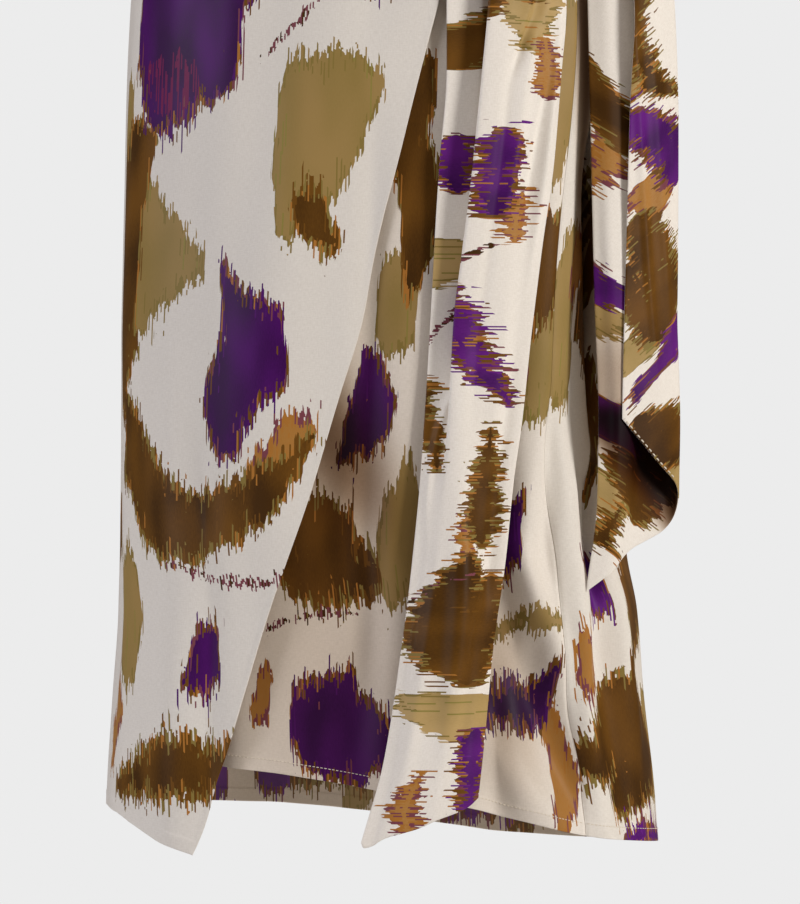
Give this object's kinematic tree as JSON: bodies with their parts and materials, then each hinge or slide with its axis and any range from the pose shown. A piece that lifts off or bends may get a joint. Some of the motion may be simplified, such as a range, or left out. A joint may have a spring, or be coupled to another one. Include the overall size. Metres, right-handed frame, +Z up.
{
  "type": "wrap skirt",
  "caption": "Hollow worn wrap skirt with a slanting overlap edge, a plain waistband and draped tails hanging at the wearer's left front and hip.",
  "frame": {"origin": "middle of the waist, at half the waistband's height, where the wearer's waist holds the skirt", "axes": "+Z up along the wearer, -Y to the wearer's front, +X to the wearer's left"},
  "size_m": [0.4245, 0.2903, 0.8549],
  "materials": {
    "printed_silk": "satin, printed with a warp ikat in purple, olive brown and khaki",
    "waistband_silk": "satin, stiffened",
    "tail_silk": "satin, double layer, printed"
  },
  "bodies": {
    "root": {"back": "printed_silk", "front_underlap": "printed_silk", "front_overlap": "printed_silk", "waistband": "waistband_silk", "front_tail": "tail_silk", "side_tail": "tail_silk"}
  },
  "joints": []
}
